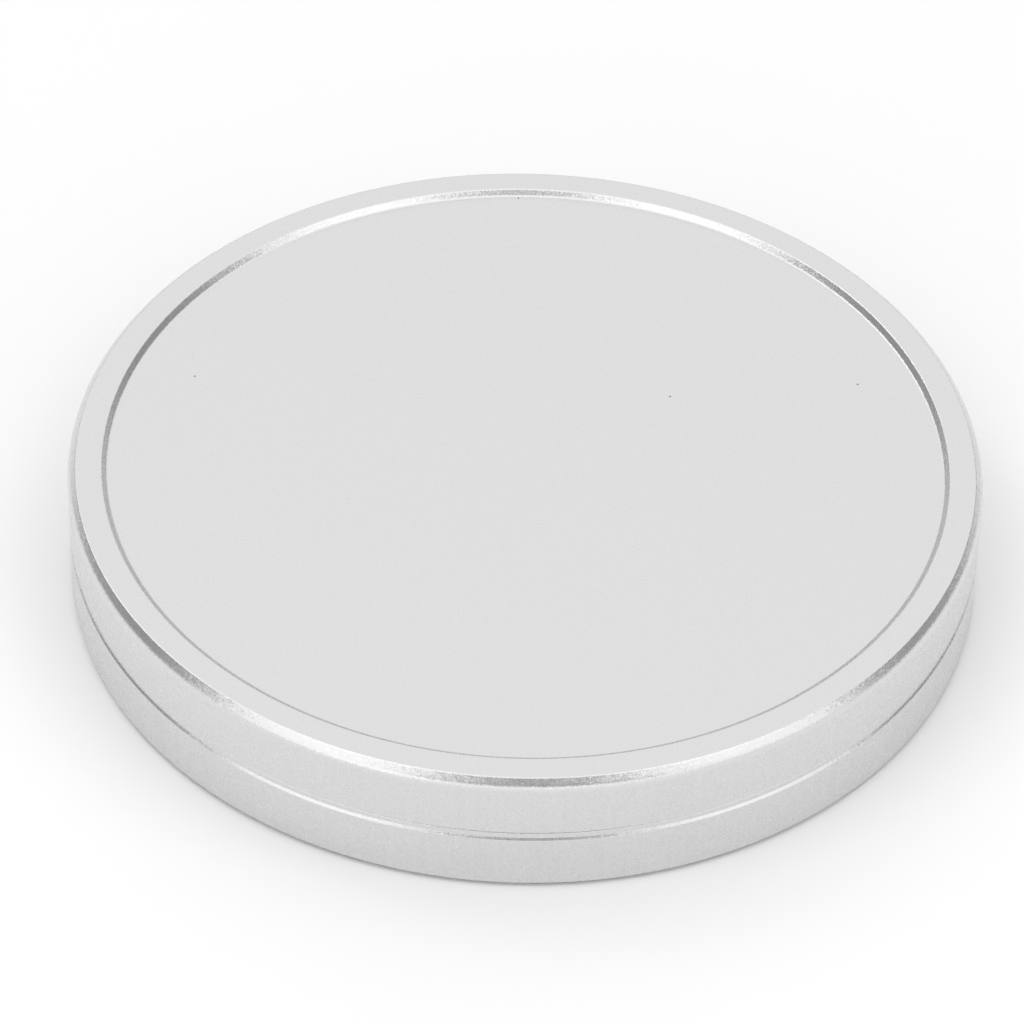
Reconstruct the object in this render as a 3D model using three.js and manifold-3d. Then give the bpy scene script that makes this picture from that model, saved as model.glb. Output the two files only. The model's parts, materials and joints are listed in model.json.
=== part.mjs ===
// Turntable display stand: a turned aluminium plate that spins on one sealed ball bearing
// in a matching base plate. Millimetres, +Z up, origin on the table under the spin axis.
import * as THREE from "three";
import { mergeVertices } from "three/addons/utils/BufferGeometryUtils.js";
import Module from "manifold-3d";

const wasm = await Module();
wasm.setup();

// The two plates: both have the same outside radius. The base plate's side ends in a chamfer,
// and a narrow neck above it runs up to the gap, just inside the top plate's edge.
const PLATE_RADIUS = 60;
const BASE_THICKNESS = 8.9;
const TOP_THICKNESS = 8.7;
const PLATE_GAP = 0.3;
const TOP_CHAMFER = 1.05;
const BASE_CHAMFER = 0.3;
const NECK_HEIGHT = 0.8;
const EDGE_BREAK = 0.1;

// The shallow display recess in the top plate, with its sloping wall.
const RECESS_RADIUS = 55.6;
const RECESS_DEPTH = 0.75;
const RECESS_WALL = 0.8;

// Rubber feet, set in blind pockets in the base plate's underside.
const FOOT_COUNT = 4;
const FOOT_CIRCLE = 48;
const FOOT_RADIUS = 6;
const FOOT_PROUD = 0.5;
const FOOT_POCKET_DEPTH = 1;
const FOOT_CHAMFER = 0.3;

// The ball bearing, 20 x 32 x 7 mm. Every radius is from the spin axis or the ball's centre.
const BEARING_BORE = 10;
const BEARING_OUTSIDE = 16;
const BEARING_WIDTH = 7;
const BEARING_BOTTOM = 4.5;
const BEARING_CORNER = 0.3;
const INNER_LAND = 11.7;
const OUTER_LAND = 14.3;
const SHIELD_STEP_RADIUS = 15;
const SHIELD_STEP_HEIGHT = 0.75;
const BALL_COUNT = 12;
const BALL_CIRCLE = 13;
const BALL_RADIUS = 1.75;
const GROOVE_RADIUS = 1.83;
const GROOVE_STEPS = 4;
const CAGE_INSIDE = 12.35;
const CAGE_OUTSIDE = 13.65;
const CAGE_HALF_HEIGHT = 2.1;
const CAGE_POCKET_RADIUS = 1.85;
const SHIELD_INSIDE = 12.05;
const SHIELD_THICKNESS = 0.35;
const SHIELD_DISH = 0.25;
const SHIELD_DISH_RADIUS = 14;

// The housing boss on the base plate, and the ring that holds the bearing down in it.
const BOSS_RADIUS = 22;
const SHOULDER_RADIUS = 14.3;
const RETAINER_INSIDE = 15.2;
const RETAINER_THICKNESS = 1.2;
const RETAINER_SCREW_COUNT = 4;
const RETAINER_SCREW_CIRCLE = 19;

// The top plate's underside: a clearance pocket over the boss, and the journal in the bearing.
const POCKET_RADIUS = 24.5;
const POCKET_CEILING = 13.4;
const JOURNAL_SHOULDER = 11.2;
const JOURNAL_END_GAP = 0.2;
const JOURNAL_CHAMFER = 0.3;
const THREAD_HOLE_TOP = 12;
const DRILL_POINT = 1.3;

// The disc and screw that clamp the inner ring on the journal, and the disc bonded over them.
const CLAMP_RADIUS = 11.2;
const CLAMP_THICKNESS = 2.3;
const COVER_RADIUS = 16.9;
const COVER_INSET = 0.1;
const COVER_CHAMFER = 0.3;
const COVER_RECESS_RADIUS = 17;
const COVER_RECESS_DEPTH = 1.2;

// Countersunk screws: thread radius, head radius, length, socket width across flats and depth.
const RETAINER_SCREW = { shank: 1.05, head: 2.2, length: 5.6, socket: 1.5, socketDepth: 0.7 };
const CLAMP_SCREW = { shank: 2.4, head: 4.4, length: 9, socket: 3, socketDepth: 1.8 };
const HEAD_EDGE = 0.1;
const HEAD_INSET = 0.1;
const THREAD_GAP = 0.2;
const COUNTERSINK_GAP = 0.4;
const HOLE_GAP = 0.35;

// How far a drill or countersink runs on past the face that it cuts.
const OVERRUN = 1;

// Pieces pressed together keep this radial gap, so that faceted circles don't cross.
const SEAT_GAP = 0.04;

// Sides of the turned pieces.
const PLATE_SIDES = 72;
const BEARING_SIDES = 40;
const RING_SIDES = 36;
const FOOT_SIDES = 20;
const SCREW_SIDES = 14;
const BALL_SIDES = 8;
const BALL_RINGS = 6;

// Heights that follow from the stack, from the table up.
const BASE_BOTTOM = FOOT_PROUD;
const BASE_TOP = BASE_BOTTOM + BASE_THICKNESS;
const NECK_BOTTOM = BASE_TOP - NECK_HEIGHT;
const TOP_BOTTOM = BASE_TOP + PLATE_GAP;
const TOP_TOP = TOP_BOTTOM + TOP_THICKNESS;
const RECESS_FLOOR = TOP_TOP - RECESS_DEPTH;
const BEARING_TOP = BEARING_BOTTOM + BEARING_WIDTH;
const BEARING_MIDDLE = BEARING_BOTTOM + BEARING_WIDTH / 2;
const RETAINER_TOP = BEARING_TOP + RETAINER_THICKNESS;
const CLAMP_BOTTOM = BEARING_BOTTOM - CLAMP_THICKNESS;
const COVER_CEILING = BASE_BOTTOM + COVER_RECESS_DEPTH;
const FOOT_CEILING = BASE_BOTTOM + FOOT_POCKET_DEPTH;

const MATERIALS = {
  aluminium: { color: 0xd9dadb, roughness: 0.45, metalness: 1 },
  steel: { color: 0xb4b6b8, roughness: 0.25, metalness: 1 },
  zinc: { color: 0xa8aaad, roughness: 0.35, metalness: 1 },
  cage: { color: 0x9a9489, roughness: 0.4, metalness: 1 },
  plastic: { color: 0x202122, roughness: 0.6, metalness: 0 },
  rubber: { color: 0x18191a, roughness: 0.9, metalness: 0 },
};

const stand = new THREE.Group();

// Adds one named mesh with a material of its own.
function add(name, geometry, finish, place = [0, 0, 0]) {
  const mesh = new THREE.Mesh(geometry, new THREE.MeshStandardMaterial(MATERIALS[finish]));
  mesh.name = name;
  mesh.position.set(...place);
  stand.add(mesh);
}

// Turns an outline of [radius, height] points about the Z axis. The outline runs
// anticlockwise: up the outside and down the inside. A hollow one closes on itself.
function turned(outline, sides) {
  const points = outline.map(([radius, height]) => new THREE.Vector2(radius, height));
  const [first] = points;
  const last = points[points.length - 1];
  if (first.x > 0 || last.x > 0) points.push(first.clone());
  return new THREE.LatheGeometry(points, sides).rotateX(Math.PI / 2);
}

// The same outline with its heights turned upside down about height zero.
function flipped(outline) {
  return outline.map(([radius, height]) => [radius, -height]).reverse();
}

function solid(geometry) {
  const bare = geometry.clone();
  bare.deleteAttribute("normal");
  bare.deleteAttribute("uv");
  const merged = mergeVertices(bare, 1e-3);
  return new wasm.Manifold(
    new wasm.Mesh({
      numProp: 3,
      vertProperties: merged.attributes.position.array,
      triVerts: new Uint32Array(merged.index.array),
    }),
  );
}

function geometryOf(made) {
  const mesh = made.getMesh();
  return new THREE.BufferGeometry()
    .setAttribute("position", new THREE.BufferAttribute(mesh.vertProperties, 3))
    .setIndex(new THREE.BufferAttribute(mesh.triVerts, 1));
}

// Cuts each tool out of a piece.
function cut(geometry, tools) {
  return geometryOf(tools.reduce((left, tool) => left.subtract(solid(tool)), solid(geometry)));
}

// Angles evenly spread round the axis, starting part of a step round.
function spread(count, startShare = 0) {
  return Array.from({ length: count }, (_, i) => ((i + startShare) / count) * 2 * Math.PI);
}

function onCircle(radius, angle, height) {
  return [radius * Math.cos(angle), radius * Math.sin(angle), height];
}

// A drill or mill: a short cylinder from one height to another, centred on a place.
function drill(radius, [x, y], low, high, sides) {
  return new THREE.CylinderGeometry(radius, radius, high - low, sides)
    .rotateX(Math.PI / 2)
    .translate(x, y, (low + high) / 2);
}

function topPlate() {
  const threadHole = CLAMP_SCREW.shank + THREAD_GAP;
  const journal = BEARING_BORE - SEAT_GAP;
  const journalEnd = BEARING_BOTTOM + JOURNAL_END_GAP;
  return turned(
    [
      [0, THREAD_HOLE_TOP + DRILL_POINT],
      [threadHole, THREAD_HOLE_TOP],
      [threadHole, journalEnd],
      [journal - JOURNAL_CHAMFER, journalEnd],
      [journal, journalEnd + JOURNAL_CHAMFER],
      [journal, BEARING_TOP],
      [JOURNAL_SHOULDER, BEARING_TOP],
      [JOURNAL_SHOULDER, POCKET_CEILING],
      [POCKET_RADIUS, POCKET_CEILING],
      [POCKET_RADIUS, TOP_BOTTOM],
      [PLATE_RADIUS - EDGE_BREAK, TOP_BOTTOM],
      [PLATE_RADIUS, TOP_BOTTOM + EDGE_BREAK],
      [PLATE_RADIUS, TOP_TOP - TOP_CHAMFER],
      [PLATE_RADIUS - TOP_CHAMFER, TOP_TOP],
      [RECESS_RADIUS, TOP_TOP],
      [RECESS_RADIUS - RECESS_WALL, RECESS_FLOOR],
      [0, RECESS_FLOOR],
    ],
    PLATE_SIDES,
  );
}

function basePlate() {
  const neck = PLATE_RADIUS - BASE_CHAMFER;
  const blank = turned(
    [
      [COVER_RECESS_RADIUS, BASE_BOTTOM],
      [neck, BASE_BOTTOM],
      [PLATE_RADIUS, BASE_BOTTOM + BASE_CHAMFER],
      [PLATE_RADIUS, NECK_BOTTOM - BASE_CHAMFER],
      [neck, NECK_BOTTOM],
      [neck, BASE_TOP - EDGE_BREAK],
      [neck - EDGE_BREAK, BASE_TOP],
      [BOSS_RADIUS, BASE_TOP],
      [BOSS_RADIUS, BEARING_TOP],
      [BEARING_OUTSIDE, BEARING_TOP],
      [BEARING_OUTSIDE, BEARING_BOTTOM],
      [SHOULDER_RADIUS, BEARING_BOTTOM],
      [SHOULDER_RADIUS, COVER_CEILING],
      [COVER_RECESS_RADIUS, COVER_CEILING],
    ],
    PLATE_SIDES,
  );
  const pockets = spread(FOOT_COUNT, 0.5).map((angle) =>
    drill(
      FOOT_RADIUS + 2 * SEAT_GAP,
      onCircle(FOOT_CIRCLE, angle, 0),
      BASE_BOTTOM - OVERRUN,
      FOOT_CEILING,
      FOOT_SIDES,
    ),
  );
  const threads = spread(RETAINER_SCREW_COUNT).map((angle) =>
    drill(
      RETAINER_SCREW.shank + THREAD_GAP,
      onCircle(RETAINER_SCREW_CIRCLE, angle, 0),
      RETAINER_TOP - RETAINER_SCREW.length - OVERRUN,
      BEARING_TOP + OVERRUN,
      SCREW_SIDES,
    ),
  );
  return cut(blank, [...pockets, ...threads]);
}

// The ball groove's arc about the ball circle, from below the middle to above it.
// side is 1 for the outer ring's groove and -1 for the inner ring's.
function grooveArc(land, side) {
  const reach = Math.acos(Math.abs(land - BALL_CIRCLE) / GROOVE_RADIUS);
  return Array.from({ length: GROOVE_STEPS + 1 }, (_, i) => {
    const angle = reach * ((2 * i) / GROOVE_STEPS - 1);
    return [BALL_CIRCLE + side * GROOVE_RADIUS * Math.cos(angle), GROOVE_RADIUS * Math.sin(angle)];
  });
}

function outerRing() {
  const half = BEARING_WIDTH / 2;
  const outside = BEARING_OUTSIDE - SEAT_GAP;
  const step = half - SHIELD_STEP_HEIGHT;
  return turned(
    [
      [SHIELD_STEP_RADIUS, -half],
      [outside - BEARING_CORNER, -half],
      [outside, BEARING_CORNER - half],
      [outside, half - BEARING_CORNER],
      [outside - BEARING_CORNER, half],
      [SHIELD_STEP_RADIUS, half],
      [SHIELD_STEP_RADIUS, step],
      [OUTER_LAND, step],
      ...grooveArc(OUTER_LAND, 1).reverse(),
      [OUTER_LAND, -step],
      [SHIELD_STEP_RADIUS, -step],
    ],
    BEARING_SIDES,
  );
}

function innerRing() {
  const half = BEARING_WIDTH / 2;
  return turned(
    [
      [BEARING_BORE + BEARING_CORNER, -half],
      [INNER_LAND, -half],
      ...grooveArc(INNER_LAND, -1),
      [INNER_LAND, half],
      [BEARING_BORE + BEARING_CORNER, half],
      [BEARING_BORE, half - BEARING_CORNER],
      [BEARING_BORE, BEARING_CORNER - half],
    ],
    BEARING_SIDES,
  );
}

// Half of the ball cage, as heights above the bearing's middle, with its ball pockets.
function cageHalf(side) {
  const ring = [
    [CAGE_INSIDE, 0],
    [CAGE_OUTSIDE, 0],
    [CAGE_OUTSIDE, CAGE_HALF_HEIGHT],
    [CAGE_INSIDE, CAGE_HALF_HEIGHT],
  ];
  const pockets = spread(BALL_COUNT).map((angle) =>
    new THREE.SphereGeometry(CAGE_POCKET_RADIUS, BALL_SIDES, BALL_RINGS)
      .rotateX(Math.PI / 2)
      .rotateZ(angle)
      .translate(...onCircle(BALL_CIRCLE, angle, 0)),
  );
  return cut(turned(side > 0 ? ring : flipped(ring), RING_SIDES), pockets);
}

// A pressed steel shield, dished towards the ring's face, as heights above the middle.
function shieldOutline() {
  const seat = BEARING_WIDTH / 2 - SHIELD_STEP_HEIGHT;
  const dish = seat + SHIELD_DISH;
  const outside = SHIELD_STEP_RADIUS - 2 * SEAT_GAP;
  return [
    [outside, seat],
    [outside, seat + SHIELD_THICKNESS],
    [SHIELD_DISH_RADIUS, dish + SHIELD_THICKNESS],
    [SHIELD_INSIDE, dish + SHIELD_THICKNESS],
    [SHIELD_INSIDE, dish],
    [SHIELD_DISH_RADIUS, dish],
  ];
}

function ball(angle) {
  return new THREE.SphereGeometry(BALL_RADIUS, BALL_SIDES, BALL_RINGS)
    .rotateX(Math.PI / 2)
    .rotateZ(angle);
}

function bearing() {
  const middle = [0, 0, BEARING_MIDDLE];
  add("bearing_outer_ring", outerRing(), "steel", middle);
  add("bearing_inner_ring", innerRing(), "steel", middle);
  add("bearing_cage_upper", cageHalf(1), "cage", middle);
  add("bearing_cage_lower", cageHalf(-1), "cage", middle);
  add("bearing_shield_upper", turned(shieldOutline(), RING_SIDES), "zinc", middle);
  add("bearing_shield_lower", turned(flipped(shieldOutline()), RING_SIDES), "zinc", middle);
  spread(BALL_COUNT).forEach((angle, i) => {
    add(`ball_${i + 1}`, ball(angle), "steel", onCircle(BALL_CIRCLE, angle, BEARING_MIDDLE));
  });
}

// A countersunk socket screw: its head's face is at height zero and it points down.
function countersunkScrew({ shank, head, length, socket, socketDepth }, sides) {
  const neck = -HEAD_EDGE - (head - shank);
  const blank = turned(
    [
      [0, -length],
      [shank - THREAD_GAP, -length],
      [shank, THREAD_GAP - length],
      [shank, neck],
      [head, -HEAD_EDGE],
      [head, 0],
      [0, 0],
    ],
    sides,
  );
  const key = new THREE.CylinderGeometry(
    socket / Math.sqrt(3),
    socket / Math.sqrt(3),
    2 * socketDepth,
    6,
  ).rotateX(Math.PI / 2);
  return cut(blank, [key]);
}

// The hole for a countersunk screw through a plate, its wide mouth at height zero.
function countersink({ shank, head }, [x, y, z], depth, sides) {
  const hole = shank + HOLE_GAP;
  const mouth = head + COUNTERSINK_GAP;
  return turned(
    [
      [0, -depth - OVERRUN],
      [hole, -depth - OVERRUN],
      [hole, hole - mouth],
      [mouth, 0],
      [mouth, OVERRUN],
      [0, OVERRUN],
    ],
    sides,
  ).translate(x, y, z);
}

function retainer() {
  const ring = turned(
    [
      [RETAINER_INSIDE, BEARING_TOP],
      [BOSS_RADIUS, BEARING_TOP],
      [BOSS_RADIUS, RETAINER_TOP],
      [RETAINER_INSIDE, RETAINER_TOP],
    ],
    RING_SIDES,
  );
  const places = spread(RETAINER_SCREW_COUNT).map((angle) =>
    onCircle(RETAINER_SCREW_CIRCLE, angle, RETAINER_TOP),
  );
  const sinks = places.map((place) =>
    countersink(RETAINER_SCREW, place, RETAINER_THICKNESS, SCREW_SIDES),
  );
  add("bearing_retainer", cut(ring, sinks), "aluminium");
  places.forEach(([x, y, z], i) => {
    const screw = countersunkScrew(RETAINER_SCREW, SCREW_SIDES);
    add(`retainer_screw_${i + 1}`, screw, "zinc", [x, y, z - HEAD_INSET]);
  });
}

// The clamp disc and its screw go in from beneath, so their outlines are turned upside down.
function clamp() {
  const disc = turned(
    [
      [0, CLAMP_BOTTOM],
      [CLAMP_RADIUS - JOURNAL_CHAMFER, CLAMP_BOTTOM],
      [CLAMP_RADIUS, CLAMP_BOTTOM + JOURNAL_CHAMFER],
      [CLAMP_RADIUS, BEARING_BOTTOM],
      [0, BEARING_BOTTOM],
    ],
    RING_SIDES,
  );
  const sink = countersink(CLAMP_SCREW, [0, 0, 0], CLAMP_THICKNESS, SCREW_SIDES)
    .rotateX(Math.PI)
    .translate(0, 0, CLAMP_BOTTOM);
  add("clamp_disc", cut(disc, [sink]), "zinc");
  const screw = countersunkScrew(CLAMP_SCREW, SCREW_SIDES).rotateX(Math.PI);
  add("clamp_screw", screw, "zinc", [0, 0, CLAMP_BOTTOM + HEAD_INSET]);
}

// The cover disc is bonded into the base plate's centre recess, under the clamp screw.
function coverDisc() {
  const face = BASE_BOTTOM + COVER_INSET;
  return turned(
    [
      [0, face],
      [COVER_RADIUS - COVER_CHAMFER, face],
      [COVER_RADIUS, face + COVER_CHAMFER],
      [COVER_RADIUS, COVER_CEILING],
      [0, COVER_CEILING],
    ],
    RING_SIDES,
  );
}

function foot() {
  return turned(
    [
      [0, 0],
      [FOOT_RADIUS - FOOT_CHAMFER, 0],
      [FOOT_RADIUS, FOOT_CHAMFER],
      [FOOT_RADIUS, FOOT_CEILING],
      [0, FOOT_CEILING],
    ],
    FOOT_SIDES,
  );
}

add("top_plate", topPlate(), "aluminium");
add("base_plate", basePlate(), "aluminium");
bearing();
retainer();
clamp();
add("cover_disc", coverDisc(), "plastic");
spread(FOOT_COUNT, 0.5).forEach((angle, i) => {
  add(`foot_${i + 1}`, foot(), "rubber", onCircle(FOOT_CIRCLE, angle, 0));
});

export default stand;
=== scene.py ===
"""Looks for the turntable display stand: fine turned meshes in place of the CAD solids,
procedural metal, rubber and plastic, and a pale studio with soft boxes."""

import json
import math

import bpy
from mathutils import Matrix, Vector


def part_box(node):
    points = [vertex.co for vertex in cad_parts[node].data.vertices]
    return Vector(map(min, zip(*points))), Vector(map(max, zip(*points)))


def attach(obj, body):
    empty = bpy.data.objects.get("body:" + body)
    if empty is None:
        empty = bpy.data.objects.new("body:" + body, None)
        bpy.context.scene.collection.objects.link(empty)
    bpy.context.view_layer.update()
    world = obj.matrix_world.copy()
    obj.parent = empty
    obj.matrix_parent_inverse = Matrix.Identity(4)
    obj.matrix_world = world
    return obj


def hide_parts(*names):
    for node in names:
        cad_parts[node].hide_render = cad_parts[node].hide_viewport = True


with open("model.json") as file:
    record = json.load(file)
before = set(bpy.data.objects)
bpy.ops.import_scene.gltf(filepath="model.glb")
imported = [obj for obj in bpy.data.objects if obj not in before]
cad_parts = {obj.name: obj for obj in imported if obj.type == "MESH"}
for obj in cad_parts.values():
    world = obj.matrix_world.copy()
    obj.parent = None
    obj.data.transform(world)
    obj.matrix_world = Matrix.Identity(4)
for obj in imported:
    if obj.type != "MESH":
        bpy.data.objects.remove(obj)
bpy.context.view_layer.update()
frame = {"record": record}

MM = 0.001

# ---------------------------------------------------------------- sizes, in millimetres


def box_mm(node):
    """A CAD node's lowest and highest corners, in millimetres."""
    low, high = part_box(node)
    return low / MM, high / MM


def mount_height(name):
    """The height of one of the record's mounts, in millimetres."""
    mounts = {mount["name"]: mount for mount in frame["record"]["mounts"]}
    return mounts[name]["pos_m"][2] / MM


top_low, top_high = box_mm("top_plate")
base_low, base_high = box_mm("base_plate")
ring_low, ring_high = box_mm("bearing_outer_ring")
retainer_low, retainer_high = box_mm("bearing_retainer")
clamp_low, clamp_high = box_mm("clamp_disc")
foot_low, foot_high = box_mm("foot_1")
cover_low, cover_high = box_mm("cover_disc")

PLATE_RADIUS = top_high.x
RIM_HEIGHT = top_high.z
RECESS_FLOOR = mount_height("display_face")
BASE_BOTTOM = base_low.z
BEARING_BOTTOM = ring_low.z
BEARING_TOP = ring_high.z
BEARING_MIDDLE = (BEARING_BOTTOM + BEARING_TOP) / 2
HALF_WIDTH = (BEARING_TOP - BEARING_BOTTOM) / 2

# The seam: a dark gap, then a narrow neck and a chamfer on the base plate.
TOP_THICKNESS = 8.7
PLATE_GAP = 0.37
TOP_BOTTOM = RIM_HEIGHT - TOP_THICKNESS
BASE_TOP = TOP_BOTTOM - PLATE_GAP
BASE_CHAMFER = 0.3
NECK_BOTTOM = 8.6

# The top plate's rim and display recess.
TOP_CHAMFER = 1.05
RECESS_RADIUS = 55.55
RECESS_WALL = 0.7

# The top plate's underside, and the base plate's bearing housing and centre hole.
POCKET_RADIUS = 24.5
POCKET_CEILING = 13.4
JOURNAL_RADIUS = 9.96
JOURNAL_SHOULDER = 11.2
JOURNAL_END = top_low.z
THREAD_HOLE = 2.6
THREAD_HOLE_TOP = 12.0
DRILL_POINT = 13.3
BOSS_RADIUS = 22
BORE_RADIUS = 16
SHOULDER_RADIUS = 14.3
COVER_RECESS = 17
COVER_CEILING = cover_high.z

# The bearing, from the spin axis or from a ball's centre.
BALL_COUNT = 12
BALL_CIRCLE = 13
BALL_RADIUS = 1.75
GROOVE_RADIUS = 1.83
BORE = 10
OUTSIDE = 15.96
INNER_LAND = 11.7
OUTER_LAND = 14.3
SHIELD_STEP = 15
SHIELD_SEAT = HALF_WIDTH - 0.75
SHIELD_THICKNESS = 0.35
SHIELD_DISH = 0.25
SHIELD_INSIDE = 12.05
SHIELD_KNEE = 14.0
SHIELD_GAP = 0.08
RIBBON_INSIDE = 12.4
RIBBON_OUTSIDE = 13.6
RIBBON_THICKNESS = 0.26
RIBBON_POCKET = 1.94
RIVET_RADIUS = 0.42
RIVET_HEIGHT = 0.2
RIVET_SINK = 0.02
TAB_START = RIBBON_POCKET + 0.3

# The retaining ring, the screws and the feet.
RETAINER_INSIDE = 15.2
SCREW_CIRCLE = 19
SCREW_COUNT = 4
FOOT_COUNT = 4
FOOT_CIRCLE = 48
FOOT_RADIUS = 6
FOOT_POCKET_GAP = 0.08
COVER_EDGE_WIDTH = 2
COVER_EDGE_SLOPE = 0.2
COVER_EDGE_HEIGHT = 0.2
HEAD_INSET = 0.1
SCREW_HOLE_GAP = 0.2
SINK_HOLE_GAP = 0.35
SINK_MOUTH_GAP = 0.4

# The two kinds of screw. Shank and head are radii, and socket is the width across its flats.
SMALL_SCREW = {
    "shank": 1.05, "head": 2.2, "length": 5.6, "pitch": 0.45, "socket": 1.5, "socket_depth": 0.7,
}
LARGE_SCREW = {
    "shank": 2.4, "head": 4.4, "length": 9.0, "pitch": 0.8, "socket": 3.0, "socket_depth": 1.8,
}

# Roundings of the turned edges, and the largest share of an edge that one may take.
FINE_EDGE = 0.06
SOFT_EDGE = 0.14
DEEP_EDGE = 0.3
COVE_EDGE = 0.6
RECESS_EDGE = 0.42
ROLLED_EDGE = 1.6
ROUNDING_SHARE = 0.45

PLATE_SIDES = 512
RING_SIDES = 192
FOOT_SIDES = 96
SMALL_SIDES = 64
RIVET_SIDES = 24
FILLET_STEPS = 7
GROOVE_STEPS = 16
BALL_STEPS = 24
RIBBON_STEPS = 18
THREAD_STEPS = 10
CREASE_ANGLE = 32
ON_AXIS = 1e-6

# How far a cutter runs past the surface it cuts.
OVERRUN = 1

# ---------------------------------------------------------------- mesh building


def rounded(outline):
    """An outline of (radius, height) or (radius, height, rounding) points, with each
    rounding made into an arc."""
    made = []
    count = len(outline)
    for i, point in enumerate(outline):
        here = Vector(point[:2])
        if len(point) == 2:
            made.append(here)
            continue
        before = Vector(outline[i - 1][:2]) - here
        after = Vector(outline[(i + 1) % count][:2]) - here
        made.extend(fillet_arc(here, before, after, point[2]))
    return made


def fillet_arc(corner, before, after, radius):
    """The points of an arc of that radius that rounds off a corner between two edges. It is made
    smaller where it would take more than a set share of either edge."""
    half = before.angle(after) / 2
    room = ROUNDING_SHARE * min(before.length, after.length)
    reach = min(radius / math.tan(half), room)
    radius = reach * math.tan(half)
    middle = (before.normalized() + after.normalized()).normalized()
    centre = corner + middle * (radius / math.sin(half))
    first = corner + before.normalized() * reach - centre
    last = corner + after.normalized() * reach - centre
    return [
        centre + first.lerp(last, step / FILLET_STEPS).normalized() * radius
        for step in range(FILLET_STEPS + 1)
    ]


def skinned(name, rings, closed):
    """A skin over rings of points in millimetres. A ring of one point is a pole."""
    sides = max(len(ring) for ring in rings)
    vertices = []
    rows = []
    for ring in rings:
        start = len(vertices)
        vertices.extend(point * MM for point in ring)
        rows.append([start + (side if len(ring) > 1 else 0) for side in range(sides)])
    pairs = list(zip(rows, rows[1:]))
    if closed:
        pairs.append((rows[-1], rows[0]))
    faces = []
    for low, high in pairs:
        for side in range(sides):
            after = (side + 1) % sides
            corners = [low[side], low[after], high[after], high[side]]
            face = list(dict.fromkeys(corners))
            if len(face) > 2:
                faces.append(face)
    mesh = bpy.data.meshes.new(name)
    mesh.from_pydata(vertices, [], faces)
    piece = bpy.data.objects.new(name, mesh)
    bpy.context.scene.collection.objects.link(piece)
    return piece


def circle(radius, height, sides):
    """One ring of points round the axis."""
    angles = [2 * math.pi * side / sides for side in range(sides)]
    return [Vector((radius * math.cos(a), radius * math.sin(a), height)) for a in angles]


def turned(name, outline, sides):
    """A solid of revolution about +Z from an outline in millimetres that runs up the
    outside and down the inside. A hollow one closes on itself."""
    rings = []
    for point in rounded(outline):
        on_axis = point.x < ON_AXIS
        rings.append([Vector((0, 0, point.y))] if on_axis else circle(point.x, point.y, sides))
    hollow = outline[0][0] > 0
    return skinned(name, rings, hollow)


def flipped(outline):
    """The same outline upside down about height zero."""
    return [(point[0], -point[1], *point[2:]) for point in reversed(outline)]


def moved(piece, x, y, z):
    piece.data.transform(Matrix.Translation(Vector((x, y, z)) * MM))
    return piece


def upside_down(piece):
    piece.data.transform(Matrix.Rotation(math.pi, 4, "X"))
    return piece


def on_circle(radius, count, start_share=0.0):
    """Places evenly spread on a circle, starting part of a step round from +X."""
    angles = [2 * math.pi * (i + start_share) / count for i in range(count)]
    return [(radius * math.cos(a), radius * math.sin(a)) for a in angles]


def carved(piece, cutters):
    """Cuts the cutters out of a piece, and throws them away."""
    for cutter in cutters:
        cut = piece.modifiers.new("cut", "BOOLEAN")
        cut.operation = "DIFFERENCE"
        cut.solver = "EXACT"
        cut.object = cutter
    graph = bpy.context.evaluated_depsgraph_get()
    mesh = bpy.data.meshes.new_from_object(piece.evaluated_get(graph))
    piece.modifiers.clear()
    piece.data = mesh
    for cutter in cutters:
        bpy.data.objects.remove(cutter)
    return piece


def joined(piece, others):
    """One piece with the meshes of all, in the first one's name."""
    with bpy.context.temp_override(
        active_object=piece, selected_editable_objects=[piece, *others]
    ):
        bpy.ops.object.join()
    return piece


BODY_OF = {
    node: body
    for body, nodes in frame["record"]["behaviour"]["bodies"].items()
    for node in nodes
}
SLOT_OF = {row["node"]: row["material_slot"] for row in frame["record"]["subparts"]}


def place(piece, node, finishes):
    """The piece takes a CAD node's place, its motion and its finish, with smooth shading."""
    piece.name = node + "_fine"
    mesh = piece.data
    mesh.shade_smooth()
    mesh.set_sharp_from_angle(angle=math.radians(CREASE_ANGLE))
    weighted = piece.modifiers.new("weighted", "WEIGHTED_NORMAL")
    weighted.keep_sharp = True
    weighted.weight = 100
    mesh.materials.clear()
    mesh.materials.append(finishes[SLOT_OF[node]])
    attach(piece, BODY_OF[node])
    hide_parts(node)


# ---------------------------------------------------------------- the two plates


def top_plate():
    return turned(
        "top_plate_fine",
        [
            (0, DRILL_POINT),
            (THREAD_HOLE, THREAD_HOLE_TOP),
            (THREAD_HOLE, JOURNAL_END, SOFT_EDGE),
            (JOURNAL_RADIUS, JOURNAL_END, DEEP_EDGE),
            (JOURNAL_RADIUS, BEARING_TOP),
            (JOURNAL_SHOULDER, BEARING_TOP, FINE_EDGE),
            (JOURNAL_SHOULDER, POCKET_CEILING, SOFT_EDGE),
            (POCKET_RADIUS, POCKET_CEILING, SOFT_EDGE),
            (POCKET_RADIUS, TOP_BOTTOM, FINE_EDGE),
            (PLATE_RADIUS, TOP_BOTTOM, FINE_EDGE),
            (PLATE_RADIUS, RIM_HEIGHT - TOP_CHAMFER, ROLLED_EDGE),
            (PLATE_RADIUS - TOP_CHAMFER, RIM_HEIGHT, DEEP_EDGE),
            (RECESS_RADIUS, RIM_HEIGHT, RECESS_EDGE),
            (RECESS_RADIUS - RECESS_WALL, RECESS_FLOOR, COVE_EDGE),
            (0, RECESS_FLOOR),
        ],
        PLATE_SIDES,
    )


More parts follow.
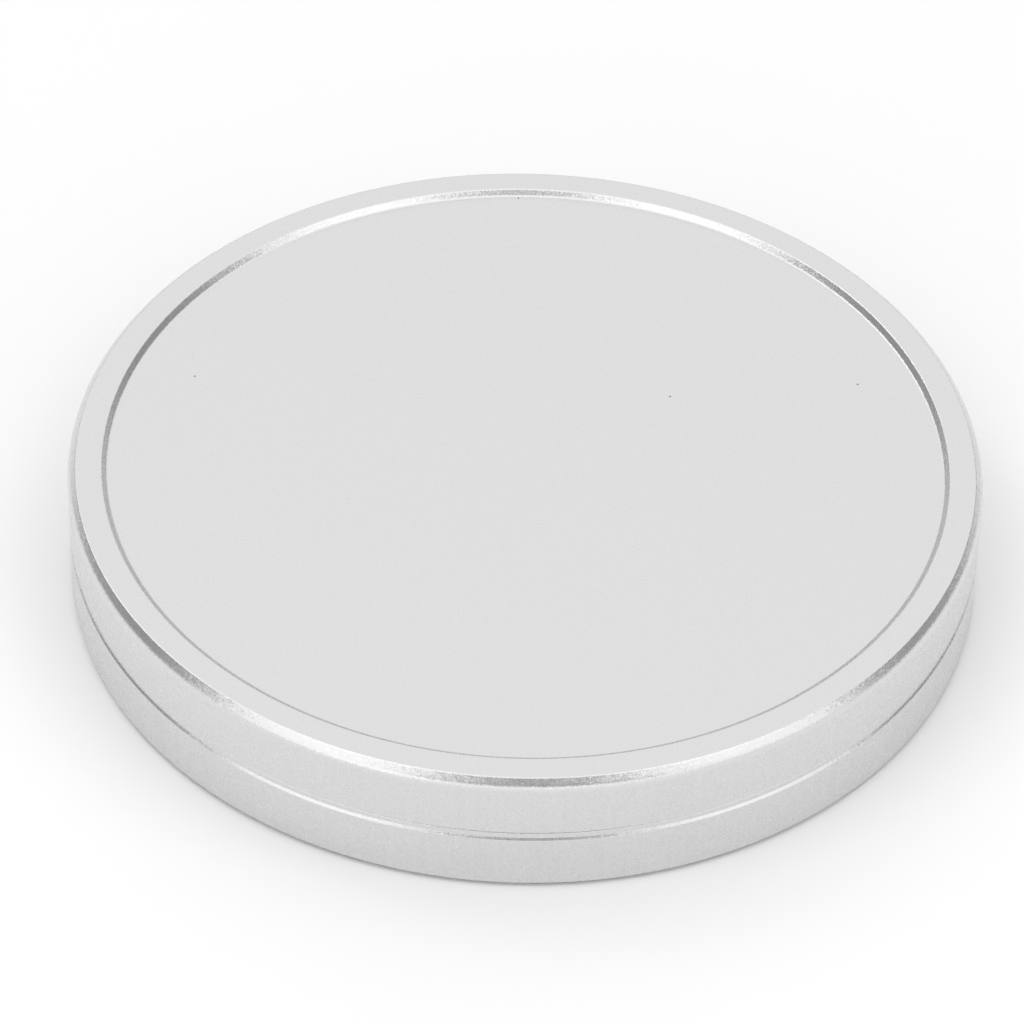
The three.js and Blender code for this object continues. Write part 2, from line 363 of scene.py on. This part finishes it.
def base_plate():
    neck = PLATE_RADIUS - BASE_CHAMFER
    blank = turned(
        "base_plate_fine",
        [
            (COVER_RECESS, BASE_BOTTOM, FINE_EDGE),
            (neck, BASE_BOTTOM, FINE_EDGE),
            (PLATE_RADIUS, BASE_BOTTOM + BASE_CHAMFER, FINE_EDGE),
            (PLATE_RADIUS, NECK_BOTTOM - BASE_CHAMFER, SOFT_EDGE),
            (neck, NECK_BOTTOM, SOFT_EDGE),
            (neck, BASE_TOP, SOFT_EDGE),
            (BOSS_RADIUS, BASE_TOP, SOFT_EDGE),
            (BOSS_RADIUS, BEARING_TOP, SOFT_EDGE),
            (BORE_RADIUS, BEARING_TOP, SOFT_EDGE),
            (BORE_RADIUS, BEARING_BOTTOM),
            (SHOULDER_RADIUS, BEARING_BOTTOM, FINE_EDGE),
            (SHOULDER_RADIUS, COVER_CEILING, FINE_EDGE),
            (COVER_RECESS, COVER_CEILING),
        ],
        PLATE_SIDES,
    )
    return carved(blank, [*foot_pockets(), *screw_holes()])


def rod(radius, low, high, sides):
    """A plain round cutter."""
    return turned("rod", [(0, low), (radius, low), (radius, high), (0, high)], sides)


def foot_pockets():
    radius = FOOT_RADIUS + FOOT_POCKET_GAP
    return [
        moved(rod(radius, -OVERRUN, foot_high.z, SMALL_SIDES), x, y, 0)
        for x, y in on_circle(FOOT_CIRCLE, FOOT_COUNT, 0.5)
    ]


def screw_holes():
    radius = SMALL_SCREW["shank"] + SCREW_HOLE_GAP
    low = retainer_high.z - SMALL_SCREW["length"] - OVERRUN
    return [
        moved(rod(radius, low, BEARING_TOP + OVERRUN, SMALL_SIDES), x, y, 0)
        for x, y in on_circle(SCREW_CIRCLE, SCREW_COUNT)
    ]


# ---------------------------------------------------------------- the bearing


def groove(land, side):
    """The ball groove's arc, from below the middle to above it, as heights above it."""
    reach = math.acos(abs(land - BALL_CIRCLE) / GROOVE_RADIUS)
    angles = [reach * (2 * step / GROOVE_STEPS - 1) for step in range(GROOVE_STEPS + 1)]
    return [
        (BALL_CIRCLE + side * GROOVE_RADIUS * math.cos(a), GROOVE_RADIUS * math.sin(a))
        for a in angles
    ]


def outer_ring():
    outline = [
        (SHIELD_STEP, -HALF_WIDTH, FINE_EDGE),
        (OUTSIDE, -HALF_WIDTH, DEEP_EDGE),
        (OUTSIDE, HALF_WIDTH, DEEP_EDGE),
        (SHIELD_STEP, HALF_WIDTH, FINE_EDGE),
        (SHIELD_STEP, SHIELD_SEAT),
        (OUTER_LAND, SHIELD_SEAT, FINE_EDGE),
        *reversed(groove(OUTER_LAND, 1)),
        (OUTER_LAND, -SHIELD_SEAT, FINE_EDGE),
        (SHIELD_STEP, -SHIELD_SEAT),
    ]
    return turned("outer_ring", outline, RING_SIDES)


def inner_ring():
    outline = [
        (BORE, -HALF_WIDTH, DEEP_EDGE),
        (INNER_LAND, -HALF_WIDTH, FINE_EDGE),
        *groove(INNER_LAND, -1),
        (INNER_LAND, HALF_WIDTH, FINE_EDGE),
        (BORE, HALF_WIDTH, DEEP_EDGE),
    ]
    return turned("inner_ring", outline, RING_SIDES)


def shield_outline():
    """A pressed shield as heights above the bearing's middle, dished towards the ring's face."""
    outside = SHIELD_STEP - SHIELD_GAP
    top = SHIELD_SEAT + SHIELD_DISH + SHIELD_THICKNESS
    return [
        (outside, SHIELD_SEAT, FINE_EDGE),
        (outside, SHIELD_SEAT + SHIELD_THICKNESS, FINE_EDGE),
        (SHIELD_KNEE, top, DEEP_EDGE),
        (SHIELD_INSIDE, top, SOFT_EDGE),
        (SHIELD_INSIDE, top - SHIELD_THICKNESS, SOFT_EDGE),
        (SHIELD_KNEE, top - SHIELD_THICKNESS, DEEP_EDGE),
    ]


def ball():
    """A ball about the origin, as a half circle turned about the axis."""
    angles = [math.pi * step / BALL_STEPS for step in range(BALL_STEPS + 1)]
    arc = [(BALL_RADIUS * math.sin(a), -BALL_RADIUS * math.cos(a)) for a in angles]
    return turned("ball", arc, 2 * BALL_STEPS)


def ribbon_wave():
    """One ball's share of a cage half: (distance along the ball circle, height, slope angle)
    along the middle of the ribbon, from the middle of one rivet tab to the next."""
    half_pitch = math.pi * BALL_CIRCLE / BALL_COUNT
    flat = RIBBON_THICKNESS / 2
    start = math.asin(flat / RIBBON_POCKET)
    upright = math.pi / 2
    wave = [(-half_pitch, flat, upright), (-TAB_START, flat, upright)]
    for step in range(RIBBON_STEPS + 1):
        angle = math.pi - start - (math.pi - 2 * start) * step / RIBBON_STEPS
        wave.append((RIBBON_POCKET * math.cos(angle), RIBBON_POCKET * math.sin(angle), angle))
    wave.append((TAB_START, flat, upright))
    return wave


def cage_half(side):
    """A pressed ribbon that follows the balls, with a rivet in each tab between them."""
    rings = []
    for number in range(BALL_COUNT):
        middle = 2 * math.pi * number / BALL_COUNT
        for along, height, slope in ribbon_wave():
            rings.append(ribbon_section(middle, along, height, slope, side))
    if side > 0:
        rings.reverse()
    ribbon = skinned("cage", rings, True)
    rivets = [
        moved(rivet(side), x, y, 0) for x, y in on_circle(BALL_CIRCLE, BALL_COUNT, 0.5)
    ]
    return joined(ribbon, rivets)


def ribbon_section(middle, along, height, slope, side):
    """The four corners of the ribbon's section at one place along it."""
    half = RIBBON_THICKNESS / 2
    below = [(RIBBON_INSIDE, -half), (RIBBON_OUTSIDE, -half)]
    above = [(RIBBON_OUTSIDE, half), (RIBBON_INSIDE, half)]
    corners = []
    for radius, offset in below + above:
        angle = middle + (along + offset * math.cos(slope)) / BALL_CIRCLE
        z = height + offset * math.sin(slope)
        corners.append(Vector((radius * math.cos(angle), radius * math.sin(angle), side * z)))
    return corners


def rivet(side):
    """A rivet's round head on a cage half's tab."""
    low = RIBBON_THICKNESS - RIVET_SINK
    outline = [
        (0, low),
        (RIVET_RADIUS, low),
        (RIVET_RADIUS, RIBBON_THICKNESS + RIVET_HEIGHT, SOFT_EDGE),
        (0, RIBBON_THICKNESS + RIVET_HEIGHT),
    ]
    return turned("rivet", outline if side > 0 else flipped(outline), RIVET_SIDES)


def bearing(finishes):
    """All the bearing's pieces, made about its middle and lifted into place."""
    made = {
        "bearing_outer_ring": outer_ring(),
        "bearing_inner_ring": inner_ring(),
        "bearing_shield_upper": turned("shield", shield_outline(), RING_SIDES),
        "bearing_shield_lower": turned("shield", flipped(shield_outline()), RING_SIDES),
        "bearing_cage_upper": cage_half(1),
        "bearing_cage_lower": cage_half(-1),
    }
    for number, (x, y) in enumerate(on_circle(BALL_CIRCLE, BALL_COUNT)):
        made[f"ball_{number + 1}"] = moved(ball(), x, y, 0)
    for node, piece in made.items():
        place(moved(piece, 0, 0, BEARING_MIDDLE), node, finishes)


# ---------------------------------------------------------------- screws and small pieces


def thread_dip(share):
    """How deep the thread is at a share of its pitch: 0 at the crest and 1 at the root."""
    return 1 - abs(2 * (share % 1) - 1)


def thread_rings(shank, pitch, low, high):
    """The rings of a cut thread between two heights. It fades into its root at both ends."""
    depth = 0.55 * pitch
    tip_bevel = 0.15
    count = int((high - low) / pitch * THREAD_STEPS)
    rings = []
    for step in range(count):
        height = low + tip_bevel + pitch * step / THREAD_STEPS
        fade = min(1, step / THREAD_STEPS, (count - step) / THREAD_STEPS)
        ring = circle(1, height, SMALL_SIDES)
        for side, point in enumerate(ring):
            share = height / pitch - side / SMALL_SIDES
            radius = shank - depth * (1 - fade * (1 - thread_dip(share)))
            point.x *= radius
            point.y *= radius
        rings.append(ring)
    return rings


def screw(shank, head, length, pitch, socket, socket_depth):
    """A countersunk socket screw with a cut thread: its face is at height zero."""
    rim = 0.1
    bevel_height = 0.02
    bevel_width = 0.03
    tip = 0.7 * shank
    neck = -rim - (head - shank)
    rings = [
        [Vector((0, 0, -length))],
        circle(tip, -length, SMALL_SIDES),
        *thread_rings(shank, pitch, -length, neck),
        circle(shank, neck, SMALL_SIDES),
        circle(head, -rim, SMALL_SIDES),
        circle(head, -bevel_height, SMALL_SIDES),
        circle(head - bevel_width, 0, SMALL_SIDES),
        [Vector((0, 0, 0))],
    ]
    blank = skinned("screw", rings, False)
    key = rod(socket / math.sqrt(3), -socket_depth, socket_depth, 6)
    return carved(blank, [key])


def countersink(shank, head, depth):
    """The cutter for a countersunk screw's hole, with its wide mouth at height zero."""
    hole = shank + SINK_HOLE_GAP
    mouth = head + SINK_MOUTH_GAP
    outline = [
        (0, -depth - OVERRUN),
        (hole, -depth - OVERRUN),
        (hole, hole - mouth),
        (mouth, 0),
        (mouth, OVERRUN),
        (0, OVERRUN),
    ]
    return turned("countersink", outline, SMALL_SIDES)


def retainer(finishes):
    """The retaining ring and its countersunk screws."""
    low = retainer_low.z
    high = retainer_high.z
    ring = turned(
        "retainer",
        [
            (RETAINER_INSIDE, low, SOFT_EDGE),
            (BOSS_RADIUS, low, SOFT_EDGE),
            (BOSS_RADIUS, high, SOFT_EDGE),
            (RETAINER_INSIDE, high, SOFT_EDGE),
        ],
        RING_SIDES,
    )
    places = on_circle(SCREW_CIRCLE, SCREW_COUNT)
    sinks = [
        moved(countersink(SMALL_SCREW["shank"], SMALL_SCREW["head"], high - low), x, y, high)
        for x, y in places
    ]
    place(carved(ring, sinks), "bearing_retainer", finishes)
    for number, (x, y) in enumerate(places):
        piece = moved(screw(**SMALL_SCREW), x, y, high - HEAD_INSET)
        place(piece, f"retainer_screw_{number + 1}", finishes)


def clamp(finishes):
    """The clamp disc, with its screw put in from below."""
    radius = clamp_high.x
    disc = turned(
        "clamp",
        [
            (0, clamp_low.z),
            (radius, clamp_low.z, DEEP_EDGE),
            (radius, clamp_high.z, FINE_EDGE),
            (0, clamp_high.z),
        ],
        RING_SIDES,
    )
    depth = clamp_high.z - clamp_low.z
    sink = upside_down(countersink(LARGE_SCREW["shank"], LARGE_SCREW["head"], depth))
    moved(sink, 0, 0, clamp_low.z)
    place(carved(disc, [sink]), "clamp_disc", finishes)
    piece = upside_down(screw(**LARGE_SCREW))
    place(moved(piece, 0, 0, clamp_low.z + HEAD_INSET), "clamp_screw", finishes)


def cover_disc():
    """The moulded disc under the base plate, with a raised edge round a lower field."""
    radius = cover_high.x
    low = cover_low.z
    field = low + COVER_EDGE_HEIGHT
    edge = radius - COVER_EDGE_WIDTH
    return turned(
        "cover",
        [
            (0, field),
            (edge - COVER_EDGE_SLOPE, field, SOFT_EDGE),
            (edge, low, SOFT_EDGE),
            (radius, low, DEEP_EDGE),
            (radius, cover_high.z, FINE_EDGE),
            (0, cover_high.z),
        ],
        RING_SIDES,
    )


def foot():
    return turned(
        "foot",
        [
            (0, 0),
            (FOOT_RADIUS, 0, DEEP_EDGE),
            (FOOT_RADIUS, foot_high.z, SOFT_EDGE),
            (0, foot_high.z),
        ],
        FOOT_SIDES,
    )


# ---------------------------------------------------------------- materials


class Shader:
    """A material being built: it holds the node tree and adds nodes in a short form."""

    def __init__(self, name, metallic, colour, roughness):
        self.material = bpy.data.materials.new(name)
        self.material.use_nodes = True
        self.tree = self.material.node_tree
        self.surface = self.tree.nodes["Principled BSDF"]
        self.surface.inputs["Metallic"].default_value = metallic
        self.surface.inputs["Base Color"].default_value = (*colour, 1)
        self.surface.inputs["Roughness"].default_value = roughness
        self.place = self.node("ShaderNodeTexCoord").outputs["Object"]

    def node(self, kind, **settings):
        made = self.tree.nodes.new(kind)
        for key, value in settings.items():
            setattr(made, key, value)
        return made

    def link(self, output, target):
        self.tree.links.new(output, target)

    def set(self, name, output):
        self.link(output, self.surface.inputs[name])

    def scaled_place(self, size, stretch):
        mapping = self.node("ShaderNodeMapping")
        mapping.inputs["Scale"].default_value = [s / (size * MM) for s in stretch]
        self.link(self.place, mapping.inputs["Vector"])
        return mapping.outputs["Vector"]

    def noise(self, size, detail=2.0, stretch=(1, 1, 1)):
        """Smooth noise with features of about that many millimetres."""
        texture = self.node("ShaderNodeTexNoise")
        texture.inputs["Scale"].default_value = 1
        texture.inputs["Detail"].default_value = detail
        self.link(self.scaled_place(size, stretch), texture.inputs["Vector"])
        return texture.outputs["Fac"]

    def spread(self, value, low, high, source=(0, 1)):
        """A value carried from the source range to the range from low to high."""
        made = self.node("ShaderNodeMapRange")
        made.inputs["From Min"].default_value = source[0]
        made.inputs["From Max"].default_value = source[1]
        made.inputs["To Min"].default_value = low
        made.inputs["To Max"].default_value = high
        self.link(value, made.inputs["Value"])
        return made.outputs["Result"]

    def product(self, first, second):
        made = self.node("ShaderNodeMath", operation="MULTIPLY")
        self.link(first, made.inputs[0])
        self.link(second, made.inputs[1])
        return made.outputs["Value"]

    def blend(self, share, dark, light):
        """A colour between two, by a share from 0 to 1. Either may be an output."""
        made = self.node("ShaderNodeMix", data_type="RGBA")
        # In RGBA mode the node's two colours are inputs 6 and 7, and the blend is output 2.
        for socket, colour in ((made.inputs[6], dark), (made.inputs[7], light)):
            if isinstance(colour, tuple):
                socket.default_value = (*colour, 1)
            else:
                self.link(colour, socket)
        self.link(share, made.inputs[0])
        return made.outputs[2]

    def bump(self, height, strength, distance, normal=None):
        """Raises the surface by a height, with a full reach of distance millimetres."""
        made = self.node("ShaderNodeBump")
        made.inputs["Strength"].default_value = strength
        made.inputs["Distance"].default_value = distance * MM
        self.link(height, made.inputs["Height"])
        if normal:
            self.link(normal, made.inputs["Normal"])
        return made.outputs["Normal"]

    def facets(self, size, side_tilt, tilt):
        """A normal tilted at random in each grain of that many millimetres, by less on upright
        faces."""
        texture = self.node("ShaderNodeTexVoronoi")
        texture.inputs["Scale"].default_value = 1 / (size * MM)
        self.link(self.place, texture.inputs["Vector"])
        centred = self.node("ShaderNodeVectorMath", operation="SUBTRACT")
        centred.inputs[1].default_value = (0.5, 0.5, 0.5)
        self.link(texture.outputs["Color"], centred.inputs[0])
        scaled = self.node("ShaderNodeVectorMath", operation="SCALE")
        self.link(self.spread(self.levelness(), side_tilt, tilt, (0.1, 0.5)), scaled.inputs["Scale"])
        self.link(centred.outputs["Vector"], scaled.inputs[0])
        added = self.node("ShaderNodeVectorMath", operation="ADD")
        self.link(self.node("ShaderNodeNewGeometry").outputs["Normal"], added.inputs[0])
        self.link(scaled.outputs["Vector"], added.inputs[1])
        unit = self.node("ShaderNodeVectorMath", operation="NORMALIZE")
        self.link(added.outputs["Vector"], unit.inputs[0])
        return unit.outputs["Vector"]

    def levelness(self):
        """How level the surface is: 1 on a level face and 0 on an upright one."""
        parts = self.node("ShaderNodeSeparateXYZ")
        self.link(self.node("ShaderNodeNewGeometry").outputs["Normal"], parts.inputs[0])
        size = self.node("ShaderNodeMath", operation="ABSOLUTE")
        self.link(parts.outputs["Z"], size.inputs[0])
        return size.outputs["Value"]

    def dark_specks(self, spacing, radius, share):
        """Rare small round spots on level faces: 1 in a spot and 0 elsewhere."""
        texture = self.node("ShaderNodeTexVoronoi", voronoi_dimensions="2D")
        texture.inputs["Scale"].default_value = 1
        self.link(self.scaled_place(spacing, (1, 1, 1)), texture.inputs["Vector"])
        edge = radius / spacing
        inside = self.spread(texture.outputs["Distance"], 1, 0, (0.6 * edge, edge))
        chosen = self.node("ShaderNodeMath", operation="GREATER_THAN")
        chosen.inputs[1].default_value = 1 - share
        parts = self.node("ShaderNodeSeparateColor")
        self.link(texture.outputs["Color"], parts.inputs[0])
        self.link(parts.outputs[0], chosen.inputs[0])
        level = self.spread(self.levelness(), 0, 1, (0.9, 0.95))
        return self.product(self.product(inside, chosen.outputs["Value"]), level)


def blasted_aluminium():
    """Clear anodised over a fine bead blast: an even grey, with a fine glitter on the chamfers,
    faint upright streaks on the sides and a few tiny dark spots on the level faces."""
    shader = Shader("blasted_aluminium", 1, (0.71, 0.71, 0.71), 0.28)
    grain = shader.noise(0.25, 3)
    tone = shader.blend(grain, (0.7, 0.7, 0.7), (0.72, 0.72, 0.72))
    streaks = shader.spread(shader.noise(0.6, 3, (1, 1, 0.05)), 0, 1, (0.35, 0.65))
    sides = shader.spread(shader.levelness(), 0.05, 0, (0.1, 0.5))
    dark_specks = shader.dark_specks(spacing=22, radius=0.16, share=0.3)
    tone = shader.blend(shader.product(streaks, sides), tone, (0.45, 0.45, 0.45))
    # Rare tiny dark spots on the level faces, set into the base colour.
    tone = shader.blend(dark_specks, tone, (0.12, 0.12, 0.12))
    shader.set("Base Color", tone)
    shader.set("Roughness", shader.spread(shader.noise(0.5, 4), 0.24, 0.32))
    facets = shader.facets(size=0.1, side_tilt=0.04, tilt=0.15)
    shader.set("Normal", shader.bump(grain, strength=0.2, distance=0.008, normal=facets))
    return shader.material


def turned_aluminium():
    """Fine turned aluminium, for the hidden retaining ring."""
    shader = Shader("turned_aluminium", 1, (0.74, 0.745, 0.75), 0.3)
    shader.set("Roughness", shader.spread(shader.noise(0.4, 3), 0.25, 0.38))
    shader.set("Normal", shader.bump(shader.noise(0.15, 2), 0.3, 0.01))
    return shader.material


def ground_steel():
    """Ground bearing steel, with fine marks that run round it."""
    shader = Shader("ground_steel", 1, (0.56, 0.565, 0.57), 0.2)
    shader.set("Roughness", shader.spread(shader.noise(0.3, 4, (1, 1, 6)), 0.12, 0.26))
    shader.set("Normal", shader.bump(shader.noise(0.1, 2, (1, 1, 8)), 0.15, 0.005))
    return shader.material


def pressed_steel():
    """Bright rolled sheet, for the shields and the cage."""
    shader = Shader("pressed_steel", 1, (0.5, 0.495, 0.48), 0.35)
    shader.set("Roughness", shader.spread(shader.noise(0.6, 4), 0.28, 0.45))
    shader.set("Normal", shader.bump(shader.noise(0.3, 3), 0.3, 0.01))
    return shader.material


def zinc_plate():
    """Zinc plating with a faint blue and grey tint, for the screws and the clamp disc."""
    shader = Shader("zinc_plate", 1, (0.62, 0.63, 0.65), 0.3)
    tint = shader.blend(shader.noise(1.2, 3), (0.56, 0.59, 0.63), (0.66, 0.66, 0.65))
    shader.set("Base Color", tint)
    shader.set("Roughness", shader.spread(shader.noise(0.5, 3), 0.24, 0.4))
    shader.set("Normal", shader.bump(shader.noise(0.2, 2), 0.2, 0.01))
    return shader.material


def moulded_plastic():
    """Black moulded plastic with a fine texture, for the cover disc."""
    shader = Shader("moulded_plastic", 0, (0.012, 0.012, 0.013), 0.5)
    tone = shader.blend(shader.noise(3, 4), (0.01, 0.01, 0.011), (0.017, 0.017, 0.018))
    shader.set("Base Color", tone)
    shader.set("Roughness", shader.spread(shader.noise(0.8, 4), 0.42, 0.58))
    shader.set("Normal", shader.bump(shader.noise(0.14, 3), 0.6, 0.04))
    return shader.material


def foot_rubber():
    """Matt black rubber."""
    shader = Shader("foot_rubber", 0, (0.018, 0.018, 0.019), 0.8)
    tone = shader.blend(shader.noise(2.5, 4), (0.014, 0.014, 0.015), (0.028, 0.028, 0.029))
    shader.set("Base Color", tone)
    shader.set("Roughness", shader.spread(shader.noise(0.4, 4), 0.7, 0.92))
    shader.set("Normal", shader.bump(shader.noise(0.18, 3), 0.6, 0.03))
    return shader.material


def all_finishes():
    """One finish for each material slot in the record."""
    return {
        "anodised_aluminium": blasted_aluminium(),
        "machined_aluminium": turned_aluminium(),
        "bearing_steel": ground_steel(),
        "pressed_steel": pressed_steel(),
        "zinc_steel": zinc_plate(),
        "black_plastic": moulded_plastic(),
        "black_rubber": foot_rubber(),
    }


# ---------------------------------------------------------------- studio


def floor_material():
    """Matt white paper, with no gloss at all."""
    shader = Shader("paper", 0, (0.95, 0.95, 0.95), 0.9)
    shader.surface.inputs["Specular IOR Level"].default_value = 0
    return shader.material


def studio_floor():
    """A square sheet of paper under the stand."""
    reach = 0.65
    signs = [(-1, -1), (1, -1), (1, 1), (-1, 1)]
    corners = [Vector((x * reach, y * reach, 0)) for x, y in signs]
    mesh = bpy.data.meshes.new("floor")
    mesh.from_pydata(corners, [], [(0, 1, 2, 3)])
    mesh.materials.append(floor_material())
    floor = bpy.data.objects.new("floor", mesh)
    bpy.context.scene.collection.objects.link(floor)


# Each soft box's azimuth, elevation, distance, width, height and radiance. The stand's flat faces
# mirror the back box to the camera, and its chamfers the left, right and edge boxes.
SOFT_BOXES = {
    "left_box": (-137.5, 35, 1.6, 1.36, 1.7, 1.02),
    "right_box": (-34, 35, 1.6, 1.4, 1.6, 0.97),
    "back_box": (91, 43, 1.8, 2.9, 1.76, 0.73),
    "edge_box": (141, 48, 1.8, 0.45, 0.8, 1.3),
    "top_box": (-90, 85, 1.8, 2.6, 1.8, 0.92),
    "low_box": (-90, 14, 2.0, 2.6, 0.6, 1.0),
}


def direction(azimuth, elevation):
    """The unit vector towards an azimuth from +X and an elevation, both in degrees."""
    a = math.radians(azimuth)
    e = math.radians(elevation)
    return Vector((math.cos(a) * math.cos(e), math.sin(a) * math.cos(e), math.sin(e)))


def soft_box(name, azimuth, elevation, distance, width, height, radiance):
    """A rectangular area light of even radiance that faces the stand."""
    light = bpy.data.lights.new(name, "AREA")
    light.shape = "RECTANGLE"
    light.size = width
    light.size_y = height
    light.energy = radiance * math.pi * width * height
    lamp = bpy.data.objects.new(name, light)
    bpy.context.scene.collection.objects.link(lamp)
    towards = direction(azimuth, elevation)
    lamp.location = towards * distance
    lamp.rotation_mode = "QUATERNION"
    lamp.rotation_quaternion = towards.to_track_quat("Z", "Y")


def world_light(sky, horizon, glow_height):
    """An even sky that grows brighter in a band just above the horizon, as a pale sweep does."""
    world = bpy.data.worlds.new("studio")
    world.use_nodes = True
    tree = world.node_tree
    parts = tree.nodes.new("ShaderNodeSeparateXYZ")
    tree.links.new(tree.nodes.new("ShaderNodeTexCoord").outputs["Generated"], parts.inputs[0])
    glow = tree.nodes.new("ShaderNodeMapRange")
    glow.inputs["From Max"].default_value = glow_height
    glow.inputs["To Min"].default_value = horizon
    glow.inputs["To Max"].default_value = sky
    tree.links.new(parts.outputs["Z"], glow.inputs["Value"])
    background = tree.nodes["Background"]
    background.inputs["Color"].default_value = (1, 1, 1, 1)
    tree.links.new(glow.outputs["Result"], background.inputs["Strength"])
    bpy.context.scene.world = world


def camera():
    """The main view: 43 degrees above the table, with a long lens and a slight roll."""
    elevation = 43.03
    distance = 0.7202
    roll = 1.51
    middle = Vector((0, 0, 0.00078))
    aim_right = -0.00166
    aim_up = 0.00575
    towards = direction(-90, elevation)
    data = bpy.data.cameras.new("camera")
    data.sensor_width = 36
    data.lens = 190.0
    data.clip_start = 0.01
    data.clip_end = 20
    view = bpy.data.objects.new("camera", data)
    bpy.context.scene.collection.objects.link(view)
    right = Vector((1, 0, 0))
    up = towards.cross(right)
    view.location = middle + towards * distance
    aim = middle + right * aim_right + up * aim_up
    look = (view.location - aim).to_track_quat("Z", "Y")
    view.rotation_mode = "QUATERNION"
    view.rotation_quaternion = look @ Matrix.Rotation(math.radians(roll), 4, "Z").to_quaternion()
    bpy.context.scene.camera = view


finishes = all_finishes()
place(top_plate(), "top_plate", finishes)
place(base_plate(), "base_plate", finishes)
bearing(finishes)
retainer(finishes)
clamp(finishes)
place(cover_disc(), "cover_disc", finishes)
for number, (x, y) in enumerate(on_circle(FOOT_CIRCLE, FOOT_COUNT, 0.5)):
    place(moved(foot(), x, y, 0), f"foot_{number + 1}", finishes)

world_light(sky=0.31, horizon=1.05, glow_height=0.18)
for name, values in SOFT_BOXES.items():
    soft_box(name, *values)
studio_floor()
camera()

scene = bpy.context.scene
scene.view_settings.view_transform = "Standard"
